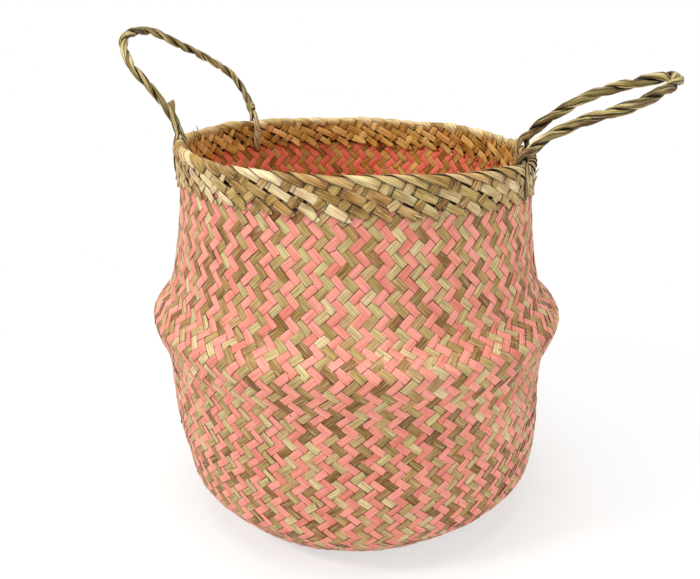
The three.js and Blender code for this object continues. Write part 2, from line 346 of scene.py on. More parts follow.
class Strips:
    """Gathers strips as one mesh, with what their material needs at each point: its
    place along and across the strip, its side from -1 to 1, its tone, how clear of a
    crossing it is, and whether it faces into the basket. The material paints shade by
    the side and the clearness, and bounce light by the facing."""

    def __init__(self):
        self.strips = []

    def add(self, rings, sides, half_widths, tones, clear, inner):
        n, corners, _ = rings.shape
        step = np.linalg.norm(np.diff(rings.mean(1), axis=0), axis=1)
        length = np.concatenate([[0], np.cumsum(step)])
        whole = np.ones((n, corners))
        strip = {
            "rings": rings,
            "length": length,
            "along": (length + rng.uniform(0, 9000))[:, None] * whole,
            "across": sides * half_widths[:, None] * whole,
            "side": sides * whole,
            "tone": (tones if tones.ndim == 2 else tones[:, None]) * whole,
            "inner": inner * whole,
            "clear": (clear if clear.ndim == 2 else clear[:, None]) * whole,
        }
        self.strips.append(strip)

    def faces_of(self, strip):
        """Four corners of each face of a strip: its sides, then its two ends."""
        n, corners, _ = strip["rings"].shape
        column, side = np.meshgrid(np.arange(n - 1), np.arange(corners), indexing="ij")
        here = column * corners + side
        beside = column * corners + (side + 1) % corners
        around = np.stack([here, beside, beside + corners, here + corners], 2).reshape(-1, 4)
        half = np.arange(corners // 2 - 1)
        end = np.stack([half, half + 1, corners - 2 - half, corners - 1 - half], 1)
        return np.concatenate([around, end[:, ::-1], (n - 1) * corners + end])

    def sheet_of(self, strip, row_length, first_row, rows):
        """Places of the faces' corners on a sheet, where the strip fills its rows."""
        n, corners, _ = strip["rings"].shape
        length = strip["length"]
        row = np.floor(length[:-1] / row_length).astype(int)
        left = (length[:-1] - row * row_length) / (row_length * ROW_SPARE)
        right = (length[1:] - row * row_length) / (row_length * ROW_SPARE)
        middle_ring = strip["rings"][n // 2]
        edges = np.linalg.norm(np.roll(middle_ring, -1, axis=0) - middle_ring, axis=1)
        share = np.concatenate([[0], np.cumsum(edges)]) / edges.sum() * ROW_FILLED + ROW_MARGIN
        low = (first_row + row[:, None] + share[None, :-1]) / rows
        high = (first_row + row[:, None] + share[None, 1:]) / rows
        left = left[:, None] * np.ones_like(low)
        right = right[:, None] * np.ones_like(low)
        u = np.stack([left, left, right, right], 2).reshape(-1, 4)
        v = np.stack([low, high, high, low], 2).reshape(-1, 4)

        # The small faces that close the strip's ends lie in the spare part of its row.
        ends = np.tile(np.array([0.98, 0.98, 0.99, 0.99]), (2 * (corners // 2 - 1), 1))
        end_rows = np.tile(np.array([0.2, 0.3, 0.3, 0.2]), (len(ends), 1))
        u = np.concatenate([u, ends])
        v = np.concatenate([v, (first_row + end_rows) / rows])
        return np.stack([u, v], 2).reshape(-1, 2), int(row.max()) + 1

    def joined(self, key):
        return np.concatenate([strip[key].ravel() for strip in self.strips])

    def build(self, name, material):
        """One mesh object of all the strips, with their values and sheet of faces."""
        lengths = sum(strip["length"][-1] for strip in self.strips)
        ring = self.strips[0]["rings"][len(self.strips[0]["rings"]) // 2]
        girth = np.linalg.norm(np.roll(ring, -1, axis=0) - ring, axis=1).sum()
        row_length = math.sqrt(lengths * girth)
        rows = sum(int(strip["length"][-2] / row_length) + 1 for strip in self.strips)
        faces, sheet, count, row = [], [], 0, 0
        for strip in self.strips:
            faces.append(self.faces_of(strip) + count)
            places, used = self.sheet_of(strip, row_length, row, rows)
            sheet.append(places)
            count += strip["rings"].shape[0] * strip["rings"].shape[1]
            row += used
        faces = np.concatenate(faces).astype(np.int32)
        mesh = bpy.data.meshes.new(name)
        mesh.vertices.add(count)
        mesh.vertices.foreach_set("co", (self.joined("rings") * METRES).astype(np.float32))
        mesh.loops.add(faces.size)
        mesh.loops.foreach_set("vertex_index", faces.ravel())
        mesh.polygons.add(len(faces))
        mesh.polygons.foreach_set("loop_start", np.arange(0, faces.size, 4, dtype=np.int32))
        mesh.update(calc_edges=True)
        mesh.polygons.foreach_set("use_smooth", np.ones(len(faces), bool))
        mesh.set_sharp_from_angle(angle=SHARP_EDGE)
        fibre = np.stack([self.joined("along"), self.joined("across")], 1)
        fibre = fibre[faces.ravel()] * METRES
        for title, places in (("Fibre", fibre), ("OFBake", np.concatenate(sheet))):
            layer = mesh.uv_layers.new(name=title)
            layer.data.foreach_set("uv", places.astype(np.float32).ravel())
        for key in ("side", "tone", "clear", "inner"):
            attribute = mesh.attributes.new(key, "FLOAT", "POINT")
            attribute.data.foreach_set("value", self.joined(key).astype(np.float32))
        mesh.materials.append(material)
        piece = bpy.data.objects.new(name, mesh)
        bpy.context.scene.collection.objects.link(piece)
        return piece


# Materials. The tints are painted bounce light for the sides that face into the basket: warmer and
# stronger in colour, as light bounced round inside makes them.
LEAF_BOUNCE_LIGHT = (1.32, 1.03, 0.6)
PAINT_BOUNCE_LIGHT = (1.22, 0.82, 0.62)
BUMP_STRENGTH = 0.8
SPECULAR_LEVEL = 0.3


def rgb(text):
    """Linear colour from a hexadecimal one."""
    values = [int(text[n : n + 2], 16) / 255 for n in (0, 2, 4)]
    return [v / 12.92 if v <= 0.04045 else ((v + 0.055) / 1.055) ** 2.4 for v in values] + [1]


class Nodes:
    """Short calls for building the nodes of a material or of the world."""

    def __init__(self, owner):
        self.owner = owner
        owner.use_nodes = True
        self.tree = owner.node_tree

    def fill(self, node, inputs):
        """Links or sets each of the node's named or numbered inputs."""
        for name, value in inputs.items():
            if isinstance(value, bpy.types.NodeSocket):
                self.tree.links.new(value, node.inputs[name])
            else:
                node.inputs[name].default_value = value

    def new(self, kind, inputs, **settings):
        node = self.tree.nodes.new("ShaderNode" + kind)
        for name, setting in settings.items():
            setattr(node, name, setting)
        self.fill(node, inputs)
        return node

    def maths(self, operation, a, b=0.0, clamp=False):
        return self.new("Math", {0: a, 1: b}, operation=operation, use_clamp=clamp).outputs[0]

    def attribute(self, name):
        return self.new("Attribute", {}, attribute_name=name).outputs["Fac"]

    def fibres(self, along, across, detail, seed):
        """Noise drawn out along the strip: features per metre along it and across it."""
        places = self.new("UVMap", {}, uv_map="Fibre").outputs["UV"]
        spread = {"Scale": (along, across, 1), "Location": (seed, seed * 1.7, seed)}
        drawn_out = self.new("Mapping", {"Vector": places, **spread}).outputs["Vector"]
        noise = self.new("TexNoise", {"Vector": drawn_out, "Scale": 1, "Detail": detail})
        return noise.outputs["Fac"]

    def ramp(self, factor, stops):
        node = self.new("ValToRGB", {"Fac": factor})
        elements = node.color_ramp.elements
        while len(elements) < len(stops):
            elements.new(0.5)
        for element, (place, colour) in zip(elements, stops):
            element.position = place
            element.color = rgb(colour)
        return node.outputs["Color"]

    def mix(self, factor, a, b, blend="MIX"):
        inputs = {"Factor": factor, 6: a, 7: b}
        return self.new("Mix", inputs, data_type="RGBA", blend_type=blend).outputs[2]

    def seen_directly(self):
        """1 for rays from the camera, off glossy things and through clear ones."""
        rays = self.new("LightPath", {}).outputs
        seen = self.maths("MAXIMUM", rays["Is Camera Ray"], rays["Is Glossy Ray"])
        return self.maths("MAXIMUM", seen, rays["Is Transmission Ray"])

    def shaded(self, colour, edge_start, end_reach, shade_colour, bounce_tint):
        """Painted shade darkens a strip's two edges, and its ends where it goes under another.
        Painted bounce light makes the side that faces into the basket warmer and stronger in
        colour."""
        edge = self.maths("ABSOLUTE", self.attribute("side"))
        edge = self.ramp(edge, [(edge_start, "ffffff"), (1.0, shade_colour)])
        ends = [(0.05, shade_colour), (end_reach, "ffffff")]
        ends = self.ramp(self.attribute("clear"), ends)
        colour = self.mix(0.85, colour, edge, "MULTIPLY")
        colour = self.mix(0.95, colour, ends, "MULTIPLY")
        bounce_lit = self.mix(1.0, colour, (*bounce_tint, 1), "MULTIPLY")
        return self.mix(self.attribute("inner"), colour, bounce_lit)

    def finish(self, colour, roughness, bump_height, depth):
        """The finished material, with its bump's depth in metres."""
        relief = {"Strength": BUMP_STRENGTH, "Distance": depth, "Height": bump_height}
        looks = {
            "Normal": self.new("Bump", relief).outputs["Normal"],
            "Base Color": colour,
            "Roughness": roughness,
            "Specular IOR Level": SPECULAR_LEVEL,
        }
        self.fill(self.tree.nodes["Principled BSDF"], looks)
        return self.owner


def leaf_material(name, stops, colours, edge):
    """Bare dried leaf: a tone for each strip, dark and pale veins, brown streaks, and a green cast
    on some.
    Painted shade darkens its edges past a share of its half width, and its ends where it goes under
    another;
    painted bounce light colours the side that faces into the basket."""
    vein_colour, pale_colour, streak_colour, shade_colour = colours
    n = Nodes(bpy.data.materials.new(name))
    drift = n.maths("MULTIPLY", n.maths("SUBTRACT", n.fibres(28, 150, 2, 3.1), 0.5), 0.8)
    base = n.ramp(n.maths("ADD", n.attribute("tone"), drift, clamp=True), stops)
    streak = n.ramp(n.fibres(60, 300, 2, 7.7), [(0.55, "000000"), (0.72, "ffffff")])
    base = n.mix(n.maths("MULTIPLY", streak, 0.5), base, rgb(streak_colour))
    veins = n.fibres(70, 1700, 3, 1.3)
    dark = n.ramp(veins, [(0.33, vein_colour), (0.58, "ffffff")])
    base = n.mix(0.6, base, dark, "MULTIPLY")
    pale = n.ramp(n.fibres(70, 1100, 2, 5.9), [(0.5, "000000"), (0.72, "ffffff")])
    base = n.mix(n.maths("MULTIPLY", pale, 0.42), base, rgb(pale_colour))
    cast = n.ramp(n.fibres(5, 6, 1, 8.3), [(0.42, "ffffff"), (0.56, "ecf2dc")])
    base = n.mix(1.0, base, cast, "MULTIPLY")
    base = n.shaded(base, edge, 0.4, shade_colour, LEAF_BOUNCE_LIGHT)
    return n.finish(base, 0.55, veins, 0.0003)


def painted_material(name, light, deep, worn):
    """Leaf with matt coral paint: a little uneven, thinner along some veins."""
    n = Nodes(bpy.data.materials.new(name))
    drift = n.maths("SUBTRACT", n.fibres(40, 160, 2, 4.2), 0.5)
    tone = n.maths("ADD", n.attribute("tone"), drift, clamp=True)
    base = n.ramp(tone, [(0.1, deep), (0.8, light)])
    veins = n.fibres(45, 1300, 3, 9.1)
    thin = n.ramp(n.fibres(40, 760, 3, 2.4), [(0.58, "000000"), (0.74, "ffffff")])
    base = n.mix(n.maths("MULTIPLY", thin, 0.45), base, rgb(worn))
    dark = n.ramp(veins, [(0.34, "dba497"), (0.54, "ffffff")])
    base = n.mix(0.6, base, dark, "MULTIPLY")
    # Deep red-brown painted shade on the edges and crossing ends, and painted bounce light on the
    # inward side.
    base = n.shaded(base, 0.87, 0.3, "702c18", PAINT_BOUNCE_LIGHT)
    return n.finish(base, 0.62, veins, 0.00022)


coral = painted_material("coral_paint", "ec9c8c", "d77c6a", "d9a580")
# Each leaf's colours: veins, pale veins, brown streaks, then its painted shade.
wall_leaf = leaf_material(
    "bare_seagrass",
    [(0.0, "885824"), (0.16, "a67c44"), (0.45, "be9a62"), (0.75, "ccae7c"), (1.0, "e2ca9a")],
    ("8a6636", "efdfb2", "8a5a24", "331a06"),
    0.86,
)
rim_leaf = leaf_material(
    "rim_seagrass",
    [(0.0, "8a5a20"), (0.2, "b08440"), (0.45, "caa466"), (0.75, "d8b888"), (1.0, "ecd4a6")],
    ("76521e", "f2e2b8", "80501a", "1c0d02"),
    0.8,
)
rope_leaf = leaf_material(
    "rope_seagrass",
    [(0.0, "5e3e18"), (0.22, "826834"), (0.45, "a08e56"), (0.7, "c6ad76"), (1.0, "ecd4a6")],
    ("5f4a1c", "f0e0b2", "8f5a28", "2c1a0a"),
    0.86,
)
# The folded ends are coloured near black: painted shade for the gaps between the band's leaves.
core_shade_leaf = leaf_material(
    "folded_ends_shade",
    [(0.0, "2c1808"), (1.0, "4a2c12")],
    ("8a6632", "4a2c12", "241205", "1c0f05"),
    0.86,
)


def weave():
    """The whole wall and base, every strip laid over two and under two others."""
    painted = [Strips() for _ in range(GROUPS)]
    bare = [Strips() for _ in range(GROUPS)]
    for quarter in range(4):
        for lane in range(LANES):
            row, angle, sides, clear, runs = wall_strip(quarter, lane)
            middle, normal = surface(row, angle)
            count = runs.max() + 1
            lying = sides != 0
            lift = sides * STRIP_STEP + rng.normal(0, FLOAT_LIFT, count)[runs] * lying
            ahead = unit(np.gradient(middle, axis=0))
            side = np.cross(normal, ahead)
            slide = rng.normal(0, STRIP_SLIDE) + rng.normal(0, FLOAT_SLIDE, count)[runs] * lying
            centres = middle + normal * lift[:, None] + side * slide[:, None]
            roll = rng.normal(0, FLOAT_ROLL, count)[runs] * lying
            tilted = unit(normal + side * np.tan(roll)[:, None])
            is_painted = lane % 2 == 0
            share = PAINTED_WIDTH if is_painted else BARE_WIDTH
            spacing = CELL * slack(middle[:, 2])
            spacing = np.maximum(spacing, spacing_beside(row, angle, ahead))
            width = spacing * share * rng.uniform(0.95, 1.03)
            width = width * (1 + rng.normal(0, FLOAT_WIDTH, count))[runs]
            tone = rng.uniform(0.3, 0.85) if is_painted else rng.beta(1.3, 1.2)
            tones = np.clip(tone + rng.normal(0, FLOAT_TONE, count)[runs], 0, 1)
            rings = flat_rings(centres, tilted, width / 2, STRIP_THICKNESS)
            group = (quarter * LANES + lane) // 2 % GROUPS
            strips = painted[group] if is_painted else bare[group]
            # The clearness sets painted shade at the crossings, and the inward corners take painted
            # bounce light.
            strips.add(rings, FLAT_SECTION[:, 0], width / 2, tones, clear, WALL_INNER)
    for n in range(GROUPS):
        for strips, name, material, slot in (
            (painted[n], "painted_strips", coral, "painted_strip"),
            (bare[n], "bare_strips", wall_leaf, "natural_strip"),
        ):
            piece = strips.build(f"{name}_{n + 1}", material)
            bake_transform(piece)
    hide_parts("lower_wall", "shoulder_fold", "neck_wall")
    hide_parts("base_mat")


def over_rim(distance):
    """Offset from the wall's middle, height and normal at a distance over the rim: 0 on
    top of it, more down its outside and less down its inside."""
    way = np.sign(distance)
    far = np.abs(distance)
    flat = BAND_HALF - BAND_CORNER
    arc = BAND_CORNER * math.pi / 2
    turned = np.clip((far - flat) / BAND_CORNER, 0, math.pi / 2)
    down = np.maximum(far - flat - arc, 0)
    out = np.minimum(far, flat) + BAND_CORNER * np.sin(turned)
    out = out - BAND_TAPER * smoothstep(down, 6, 22)
    height = BAND_TOP - BAND_CORNER * (1 - np.cos(turned)) - down
    return way * out, height, way * np.sin(turned), np.cos(turned)


def band_surface(distance, angle, lift):
    """Points over the rim at a distance and an angle, lifted off the band's middle."""
    out, height, normal_out, normal_up = over_rim(distance)
    rise = BORDER_WAVE * waves(distance * 0.1, angle, 1.1) * smoothstep(height, 285, 299)
    rise = rise + BACK_BUMP * np.exp(-(((angle - BACK_BUMP_ANGLE) / BACK_BUMP_SPREAD) ** 2))
    radius = outline_radius(height) - WALL_MIDDLE + out + normal_out * lift
    z = height + normal_up * lift + rise
    points = np.stack([radius * np.cos(angle), radius * np.sin(angle), z], -1)
    shape = points.shape
    return lean(points.reshape(-1, 3)).reshape(shape)


def band_fall(k):
    """Distance over the rim of the crossings of row k, counted from the top."""
    return 4.9 * k + 3.4 * np.tanh(1.5 * k)


def band_run(k):
    """How far round the rim the leaves have run at row k, in shares of their pitch."""
    return (11 * k - 0.06 * k**3 + 7.5 * np.tanh(2.5 * k)) / BAND_PITCH


def band_strip(strips, number, leaf):
    """One strip over the rim: a leaf that runs down to the right, or one that
    crosses the leaves the other way."""
    ends = rng.uniform(-0.3, 0.22, 2) + (LEAF_REACH if leaf else CROSS_REACH)
    k = np.linspace(-ends[0], ends[1], BAND_SAMPLES)
    run = band_run(k) + (0 if leaf else -k)
    wander = rng.normal(0, 0.05) + 0.04 * np.sin(k * rng.uniform(0.8, 1.6) + rng.uniform(0, 6))
    tips = smoothstep(np.abs(k), 3.4, 5)
    wander = wander + tips * np.where(k < 0, *rng.normal(0, 0.07, 2))
    angle = (number + run + wander) * 2 * math.pi / BAND_LEAVES
    distance = band_fall(k)
    from_even = np.abs((k + 1) % 2 - 1)
    hidden = LEAF_HIDDEN if leaf else 1 - CROSS_HIDDEN
    lift = np.clip((hidden - from_even) / 0.12, -1, 1) * (1 if leaf else -1) * BAND_STEP
    if leaf:
        lift = lift + BORDER_LIFT * rng.gamma(2, 0.6) * np.exp(-((k / 0.8) ** 2))
        lift = lift + tips * np.where(k < 0, *rng.gamma(1.2, 0.3, 2))
    # Painted shade darkens a strip's ends where it goes under another.
    clear = np.clip(np.abs(from_even - hidden) / 0.19, 0, 1)
    top = np.exp(-((k / 0.75) ** 2))
    width = (LEAF_WIDTH + TOP_WIDENING * top) if leaf else CROSS_WIDTH
    ripple = 0.06 * np.sin(k * 1.9 + rng.uniform(0, 6)) + 0.04 * np.sin(k * 4.3 + rng.uniform(0, 6))
    width = width * rng.uniform(0.8, 1.12) * (1 + ripple)
    left = np.where(k < 0, ends[0] + k, ends[1] - k)
    skew = np.where(k < 0, *rng.uniform(-0.45, 0.45, 2))
    along = np.gradient(angle) * RIM_MIDDLE
    down = np.gradient(distance)
    size = np.hypot(along, down)
    across_angle = -down / size / RIM_MIDDLE
    across_down = along / size
    side = FLAT_SECTION_5[:, 0][None]
    up = FLAT_SECTION_5[:, 1][None]
    cut = np.clip((left[:, None] + skew[:, None] * side - 0.1) / 0.35, 0, 1)
    half = width[:, None] / 2 * (0.12 + 0.88 * np.sqrt(cut))
    arch = LEAF_ARCH * (1 - side**2)
    roll = (SHINGLE * top + tips * np.where(k < 0, *rng.normal(0, 0.35, 2)))[:, None]
    shingle = roll * side if leaf else 0
    rings = band_surface(
        distance[:, None] + across_down[:, None] * side * half,
        angle[:, None] + across_angle[:, None] * side * half,
        lift[:, None] + arch + shingle + up * STRIP_THICKNESS,
    )
    tone = rng.beta(1.2, 1.1)
    tones = np.clip(tone + 0.14 * np.sin(k * 2.3 + rng.uniform(0, 6)), 0, 1)
    # The part down the inside of the rim takes the painted bounce light of the basket's inside.
    inner = smoothstep(-distance, 3, 7)[:, None]
    strips.add(rings[:, ::-1], FLAT_SECTION_5[::-1, 0], width / 2, tones, clear, inner)


def rim_band():
    """The bare strips that cover the rim, with the slanted leaves along its top."""
    leaves = Strips()
    crossing = Strips()
    for number in range(BAND_LEAVES):
        band_strip(leaves, number, True)
        band_strip(crossing, number, False)
    leaf_piece = leaves.build("rim_leaves", rim_leaf)
    cross_piece = crossing.build("rim_crossing_strips", rim_leaf)
    for piece in (leaf_piece, cross_piece):
        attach(piece, "neck")
    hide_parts("rim_border", "rim_outer_band")
    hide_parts("rim_inner_band")


def rim_core():
    """The wall's own strip ends, folded between the two sides of the band, coloured near black:
    painted shade for the gaps between the band's leaves.
    """
    strips = Strips()
    turn = np.linspace(0, 2 * math.pi, 4 * BAND_LEAVES + 1)
    n = len(turn)
    section = []
    for way, height in ((-1, CORE_FOOT), (1, CORE_FOOT), (1, CORE_TOP), (-1, CORE_TOP)):
        radius = outline_radius(height) - WALL_MIDDLE + way * CORE_HALF
        ring = np.stack([radius * np.cos(turn), radius * np.sin(turn), np.full(n, height)], 1)
        section.append(lean(ring))
    rings = np.stack(section, 1)[:, ::-1]
    strips.add(rings, np.zeros(4), np.ones(n), np.full(n, 0.5), np.ones(n), 0)
    piece = strips.build("rim_core", core_shade_leaf)
    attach(piece, "neck")


# Rope handles: where their feet stand, how they rise, twist and arch, their reach and
# width, and their outline from the front foot to the rear one in shares of these.
LEFT_HANDLE = {
    "name": "left",
    "ply_radius": 1.95,
    "tone": 0.55,
    "lay": 32,
    "feet": (188, 134),
    "rise": 54.3,
    "twist": -1.4,
    "arch": 1.7,
    "reach": 92.5,
    "width": 141.1,
    "outline": [
        (-0.42, 0.17), (-0.45, 0.42), (-0.48, 0.66),
        (-0.37, 0.91), (-0.06, 0.99), (0.14, 0.85),
        (0.36, 0.67), (0.52, 0.47), (0.51, 0.21),
    ],
}
RIGHT_HANDLE = {
    "name": "right",
    "ply_radius": 2.5,
    "tone": 0.34,
    "lay": 42,
    "feet": (-32, 6),
    "rise": 25.4,
    "twist": 8.8,
    "arch": 8.6,
    "reach": 115.5,
    "width": 66.7,
    "outline": [
        (-0.33, 0.18), (-0.38, 0.43), (-0.51, 0.67),
        (-0.31, 0.85), (0.03, 0.98), (0.28, 0.96),
        (0.33, 0.74), (0.43, 0.5), (0.48, 0.21),
    ],
}

# A rope's twist is whole past this share of its reach. Its plies' offset and size are
# shares of the ply radius, and a ply's leaves turn back by a share of the rope's lay.
TWIST_DONE = 0.35
PLY_STEP = 0.7
PLY_OFFSET = 0.82
PLY_WIDE = 1.22
PLY_THICK = 0.9
PLY_UNTWIST = 0.75
LOBES = 4
LOBE_POINTS = 6
LOBE_LOW = 0.84

# The feet and the flat legs, and the distances from the feet that the rope bends over.
FOOT_HEIGHT = 304.67
LEG_HALF_WIDTH = 3.5
LEG_HALF_THICKNESS = 0.8
LEG_AWAY = 4.6
LEG_END_AWAY = 3.2

# The wrap above the left handle's rear foot, and the loose leaf above its front foot.
KNOT_START = 7
KNOT_LENGTH = 8.5
KNOT_TURNS = 3
KNOT_RADIUS = 3.1
KNOT_HALF_WIDTH = 1.9
KNOT_HALF_THICKNESS = 0.95
LOOSE_START = 6
LOOSE_END = 25
LOOSE_POINTS = 24


def outward(degrees):
    """The level way out from the basket's middle."""
    turn = math.radians(degrees)
    return np.array([math.cos(turn), math.sin(turn), 0])


def foot_place(degrees):
    """Where a handle's foot stands over the rim."""
    return lean(np.array([outward(degrees) * RIM_MIDDLE + (0, 0, FOOT_HEIGHT)]))[0]


def curve_through(points, step=0.5):
    """Even points, a step apart, on a centripetal Catmull-Rom curve through the points."""
    points = np.array(points, float)
    first = 2 * points[0] - points[1]
    last = 2 * points[-1] - points[-2]
    knots = np.concatenate([[first], points, [last]])
    line = []
    for a, b, c, d in zip(knots, knots[1:], knots[2:], knots[3:]):
        ab, bc, cd = (math.sqrt(np.linalg.norm(q - p)) for p, q in ((a, b), (b, c), (c, d)))
        start = ((b - a) / ab - (c - a) / (ab + bc) + (c - b) / bc) * bc
        end = ((c - b) / bc - (d - b) / (bc + cd) + (d - c) / cd) * bc
        t = np.linspace(0, 1, 60)[:, None]
        rise = t * t * (3 - 2 * t)
        line.append(b + (c - b) * rise + start * t * (1 - t) ** 2 + end * t * t * (t - 1))
    line = np.concatenate([line[0]] + [part[1:] for part in line[1:]])
    length = np.concatenate([[0], np.cumsum(np.linalg.norm(np.diff(line, axis=0), axis=1))])
    places = np.linspace(0, length[-1], max(int(length[-1] / step), 4) + 1)
    return between(line, places, length), places


def handle_line(handle):
    """The middle line of a handle's rope, its plane's normal, and its way and hinge."""
    front, rear = (foot_place(degrees) for degrees in handle["feet"])
    along = unit(rear - front)
    middle = (front + rear) / 2
    outwards = np.array([middle[0], middle[1], 0])
    outwards = unit(outwards - along * (outwards @ along))
    upwards = np.array([0, 0, 1.0])
    upwards = upwards - along * (upwards @ along)
    upwards = unit(upwards - outwards * (upwards @ outwards))
    rise = math.radians(handle["rise"])
    reach_way = outwards * math.cos(rise) + upwards * math.sin(rise)
    square = upwards * math.cos(rise) - outwards * math.sin(rise)
    points = [front]
    for across, out in handle["outline"]:
        turn = math.radians(handle["twist"]) * smoothstep(out, 0, TWIST_DONE)
        lift = handle["arch"] * 4 * out * (1 - out)
        place = middle + reach_way * out * handle["reach"]
        place = place + along * across * handle["width"] * math.cos(turn)
        points.append(place + square * (across * handle["width"] * math.sin(turn) + lift))
    points.append(rear)
    return points, square, reach_way, middle


def leg_points(degrees, outside):
    """The way of a leg from its tucked end up to the rim, on one side of the band."""
    way = 1 if outside else -1
    tucked = 0.4 * LEG_END_AWAY + 0.6 * LEG_AWAY
    stops = [(275, LEG_END_AWAY), (279, tucked), (284, LEG_AWAY), (292, LEG_AWAY), (298, LEG_AWAY)]
    points = []
    for height, away in stops:
        radius = outline_radius(height) - WALL_MIDDLE + way * away
        points.append(outward(degrees) * radius + (0, 0, height))
    return lean(np.array(points))


def between(values, places, stops):
    """Values given at stops along a line, carried on evenly to the places."""
    return np.stack([np.interp(places, stops, values[:, n]) for n in range(3)], 1)


def handle_ply(strips, handle, half):
    """One ply of a rope: it winds round the rope's middle, and goes on at either end
    as a flat leg down one side of the rim."""
    size = handle["ply_radius"]
    points, square, _, _ = handle_line(handle)
    line, places = curve_through(points)
    length = places[-1]
    turns = round(2 * length / handle["lay"]) / 2
    ahead = unit(np.gradient(line, axis=0))
    side = unit(square - ahead * (ahead @ square)[:, None])
    other = np.cross(ahead, side)
    wobble = 0.25 * np.sin(places * 0.083 + half * 2.0) + 0.12 * np.sin(places * 0.29 + half)
    angle = 2 * math.pi * turns * places / length + half * math.pi + wobble
    towards = side * np.cos(angle)[:, None] + other * np.sin(angle)[:, None]
    taken = np.arange(3, len(line) - 3, 5)
    wound = (line + towards * PLY_OFFSET * size)[taken]

    # The legs go down whichever side of the rim the ply reaches the foot on.
    legs, ways = [], []
    for foot, turn in zip(handle["feet"], (0, turns)):
        outside = math.cos(2 * math.pi * turn + half * math.pi) < 0
        legs.append(leg_points(foot, outside))
        out = outward(foot) * (1 if outside else -1)
        ways.append(np.tile(out, (len(legs[-1]), 1)))
    controls = np.concatenate([legs[0], wound, legs[1][::-1]])
    facing = np.concatenate([ways[0], towards[taken], ways[1]])
    whole, spots = curve_through(controls, PLY_STEP)
    nearest = np.linalg.norm(whole[:, None] - controls[None], axis=2).argmin(0)
    stops = np.maximum.accumulate(spots[nearest] + np.arange(len(controls)) * 1e-6)
    way = unit(np.gradient(whole, axis=0))
    second = between(facing, spots, stops)
    second = unit(second - way * np.sum(second * way, 1)[:, None])
    first = np.cross(second, way)

    # A leg is flat and wide, and the ply above it is nearly half round.
    front_end = stops[len(legs[0]) - 1]
    rear_start = stops[-len(legs[1])]
    flat = 1 - smoothstep(spots, front_end - 4, front_end + 9)
    flat = flat + smoothstep(spots, rear_start - 9, rear_start + 4)
    tip = smoothstep(np.minimum(spots, spots[-1] - spots), -3, 4)
    swell = 1 + 0.08 * np.sin(spots * 0.21 + half * 3) + 0.06 * np.sin(spots * 0.53 + half)
    round_size = size * swell * (1 - flat)
    wide = PLY_WIDE * round_size + LEG_HALF_WIDTH * flat
    thick = PLY_THICK * round_size + LEG_HALF_THICKNESS * flat
    count = LOBES * LOBE_POINTS
    around = np.arange(count) * 2 * math.pi / count
    untwist = 2 * math.pi * PLY_UNTWIST * spots / handle["lay"]
    turned = around[None] - (untwist + half)[:, None]
    lobe = np.abs(np.sin(around * LOBES / 2))
    grow = LOBE_LOW + 0.22 * np.sqrt(lobe)
    x = (wide * tip)[:, None] * grow * np.cos(turned)
    y = thick[:, None] * grow * np.sin(turned)
    rings = whole[:, None] + first[:, None] * x[..., None] + second[:, None] * y[..., None]

    # Each leaf of the ply has its own tone, which drifts along it. Painted shade darkens
    # the leaves between each other and where the plies meet.
    leaf = (np.arange(count) // LOBE_POINTS)[None]
    drift = np.sin(spots[:, None] * (0.05 + 0.013 * leaf) + leaf * 2.4 + half * 1.3 + length)
    ripple = np.sin(spots[:, None] * 0.31 + leaf * 4.1 + half)
    tones = np.clip(handle["tone"] + 0.42 * drift + 0.14 * ripple, 0, 1)
    outer = np.maximum(smoothstep(np.sin(turned), -0.85, 0.15), flat[:, None])
    crease_shade = np.clip(lobe * 0.85, 0, 1)[None] * outer
    across = np.linspace(-0.7, 0.7, count)
    strips.add(rings, across, np.full(len(spots), 10.0), tones, crease_shade, 0)


def handles():
    """Both laid rope handles, each bending at its feet."""
    for handle in (LEFT_HANDLE, RIGHT_HANDLE):
        strips = Strips()
        handle_ply(strips, handle, 0)
        handle_ply(strips, handle, 1)
        name = handle["name"]
        piece = strips.build(f"{name}_handle_rope", rope_leaf)
        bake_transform(piece)
        nodes = [f"{name}_handle_ply_a", f"{name}_handle_ply_b"]
        for foot in ("front", "rear"):
            nodes += [f"{name}_{foot}_foot_outer", f"{name}_{foot}_foot_inner"]
        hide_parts(*nodes)


def on_left_rope(start, end, count):
    """Points on the left rope's middle line, and its ways there. Distances are from its
    front foot, or below 0 from its rear one."""
    line, places = curve_through(handle_line(LEFT_HANDLE)[0])
    foot = places[-1] if end < 0 else 0
    stops = np.linspace(foot + start, foot + end, count)
    return between(line, stops, places), unit(between(np.gradient(line, axis=0), stops, places))


